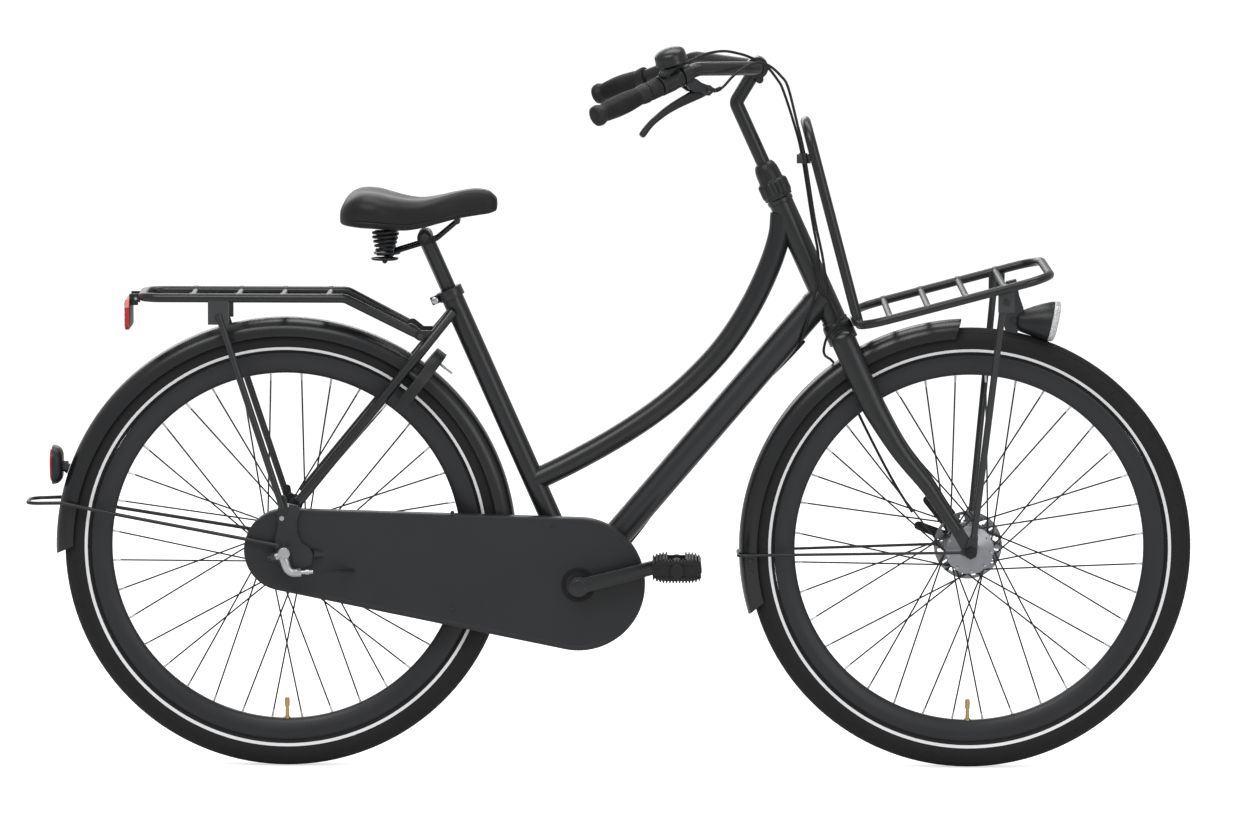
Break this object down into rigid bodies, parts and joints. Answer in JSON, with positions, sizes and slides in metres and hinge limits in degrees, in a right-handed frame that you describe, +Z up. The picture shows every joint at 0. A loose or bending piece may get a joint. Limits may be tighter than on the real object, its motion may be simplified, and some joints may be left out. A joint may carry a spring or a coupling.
{
  "type": "dutch city bike",
  "caption": "Low-step town bicycle with closed chaincase, full mudguards, front and rear carriers, ring lock, sprung saddle and swept handlebar.",
  "frame": {"origin": "on the ground, midway between the rear end of the wire stay loop and the front of the front tyre, on the wheels' middle plane", "axes": "+X forward, +Y to the bicycle's left, +Z up"},
  "size_m": [1.8686, 0.532, 1.1731],
  "materials": {
    "frame_paint": "satin charcoal-black powder coat",
    "rim_paint": "satin black anodised",
    "guard_plastic": "semi-gloss black",
    "case_plastic": "smooth matte black",
    "black_plastic": "matte black",
    "bright_steel": "zinc-plated",
    "hub_metal": "satin, with plated spokes",
    "dark_steel": "oiled dark steel",
    "tyre_rubber": "matte black",
    "black_rubber": "matte black",
    "saddle_cover": "smooth black cover with a soft sheen",
    "red_lens": "clear red",
    "clear_lens": "clear"
  },
  "bodies": {
    "bicycle_frame": {"frame": "frame_paint", "seat_clamp": "frame_paint", "rear_axle": "bright_steel", "chaincase": "case_plastic", "chain": "dark_steel", "rear_fender": "guard_plastic", "rear_fender_stay": "frame_paint", "rear_carrier": "frame_paint", "rear_light_body": "black_plastic", "rear_light_lens": "red_lens", "reflector_holder": "black_plastic", "rear_reflector": "red_lens", "ring_lock_body": "black_plastic", "shift_cable": "black_rubber"},
    "steering": {"fork": "frame_paint", "front_axle": "bright_steel", "brake_arm": "bright_steel", "front_fender": "guard_plastic", "front_fender_stay": "frame_paint", "front_carrier": "frame_paint", "headlight_body": "black_plastic", "headlight_lens": "clear_lens", "headset_collar": "black_plastic", "stem": "frame_paint", "handlebar": "frame_paint", "right_grip": "black_rubber", "left_grip": "black_rubber", "shifter_body": "black_plastic", "bell_dome": "frame_paint", "brake_lever_bracket": "frame_paint", "brake_cable": "black_rubber"},
    "front_wheel": {"front_hub": "hub_metal", "front_brake_disc": "bright_steel", "front_rim": "rim_paint", "front_inner_tube": "black_rubber", "front_tyre": "tyre_rubber"},
    "rear_wheel": {"rear_hub": "hub_metal", "rear_rim": "rim_paint", "rear_inner_tube": "black_rubber", "rear_tyre": "tyre_rubber"},
    "crank_set": {"bottom_bracket_axle": "bright_steel", "chainring": "dark_steel", "right_crank": "frame_paint", "left_crank": "frame_paint"},
    "rear_sprocket": {"sprocket": "dark_steel"},
    "pedal_right": {"right_pedal": "black_rubber"},
    "pedal_left": {"left_pedal": "black_rubber"},
    "kickstand": {"kickstand_leg": "frame_paint"},
    "seat_pillar": {"seatpost": "frame_paint"},
    "saddle_unit": {"saddle_clamp": "dark_steel", "saddle_rails": "dark_steel", "saddle_spring_right": "dark_steel", "saddle_spring_left": "dark_steel", "saddle": "saddle_cover"},
    "lever": {"brake_lever": "frame_paint"},
    "gear_twist": {"twist_shifter": "black_rubber"},
    "bell_thumb": {"bell_lever": "black_plastic"},
    "lock_bolt": {"ring_lock_bolt": "bright_steel"},
    "lock_key": {"ring_lock_key": "bright_steel"}
  },
  "joints": [
    {"name": "steering_turn", "type": "hinge", "parent": "bicycle_frame", "child": "steering", "pos_m": [0.53668, 0, 0.33685], "axis": [-0.4163, 0, 0.9092], "range_deg": [-55, 55], "deforming": ["shift_cable", "brake_cable"]},
    {"name": "front_wheel_spin", "type": "hinge", "parent": "steering", "child": "front_wheel", "pos_m": [0.5785, 0, 0.356], "axis": [0, 1, 0], "continuous": true},
    {"name": "rear_wheel_spin", "type": "hinge", "parent": "bicycle_frame", "child": "rear_wheel", "pos_m": [-0.5175, 0, 0.356], "axis": [0, 1, 0], "continuous": true},
    {"name": "crank_spin", "type": "hinge", "parent": "bicycle_frame", "child": "crank_set", "pos_m": [-0.0486, 0, 0.302], "axis": [0, 1, 0], "continuous": true},
    {"name": "sprocket_spin", "type": "hinge", "parent": "bicycle_frame", "child": "rear_sprocket", "pos_m": [-0.5175, 0, 0.356], "axis": [0, 1, 0], "continuous": true},
    {"name": "right_pedal_spin", "type": "hinge", "parent": "crank_set", "child": "pedal_right", "pos_m": [0.10824, 0, 0.34256], "axis": [0, 1, 0], "continuous": true},
    {"name": "left_pedal_spin", "type": "hinge", "parent": "crank_set", "child": "pedal_left", "pos_m": [-0.20544, 0, 0.26144], "axis": [0, 1, 0], "continuous": true},
    {"name": "kickstand_fold", "type": "hinge", "parent": "bicycle_frame", "child": "kickstand", "pos_m": [-0.1096, 0.052, 0.29], "axis": [0, -1, 0], "range_deg": [0, 95]},
    {"name": "seat_height", "type": "slide", "parent": "bicycle_frame", "child": "seat_pillar", "axis": [-0.4067, 0, 0.9135], "range_m": [-0.06, 0.08]},
    {"name": "saddle_tilt", "type": "hinge", "parent": "seat_pillar", "child": "saddle_unit", "pos_m": [-0.29508, 0, 0.85561], "axis": [0, 1, 0], "range_deg": [-12, 12]},
    {"name": "brake_lever_pull", "type": "hinge", "parent": "steering", "child": "lever", "pos_m": [0.1503, -0.13377, 1.10061], "axis": [-0.5681, 0.823, 0], "range_deg": [0, 12], "stiffness_Nm_per_rad": 8, "springref_deg": -2.86},
    {"name": "gear_twist_turn", "type": "hinge", "parent": "steering", "child": "gear_twist", "pos_m": [0.06775, -0.19076, 1.10413], "axis": [0.7767, 0.5361, 0.3307], "range_deg": [-30, 30]},
    {"name": "bell_thumb_push", "type": "hinge", "parent": "steering", "child": "bell_thumb", "pos_m": [0.10464, -0.16529, 1.11984], "axis": [0.2722, 0.1879, -0.9437], "range_deg": [0, 25], "stiffness_Nm_per_rad": 0.3, "springref_deg": -2.86},
    {"name": "lock_bolt_turn", "type": "hinge", "parent": "bicycle_frame", "child": "lock_bolt", "pos_m": [-0.31767, 0, 0.6072], "axis": [0.7826, 0, -0.6225], "range_deg": [0, 127], "stiffness_Nm_per_rad": 0.4, "springref_deg": -5.73},
    {"name": "lock_key_turn", "type": "hinge", "parent": "bicycle_frame", "child": "lock_key", "pos_m": [-0.2772, -0.022, 0.6581], "axis": [0.7826, 0, -0.6225], "range_deg": [0, 90]}
  ],
  "couplings": [
    {"joint": "sprocket_spin", "follows": "crank_spin", "ratio": 2}
  ]
}
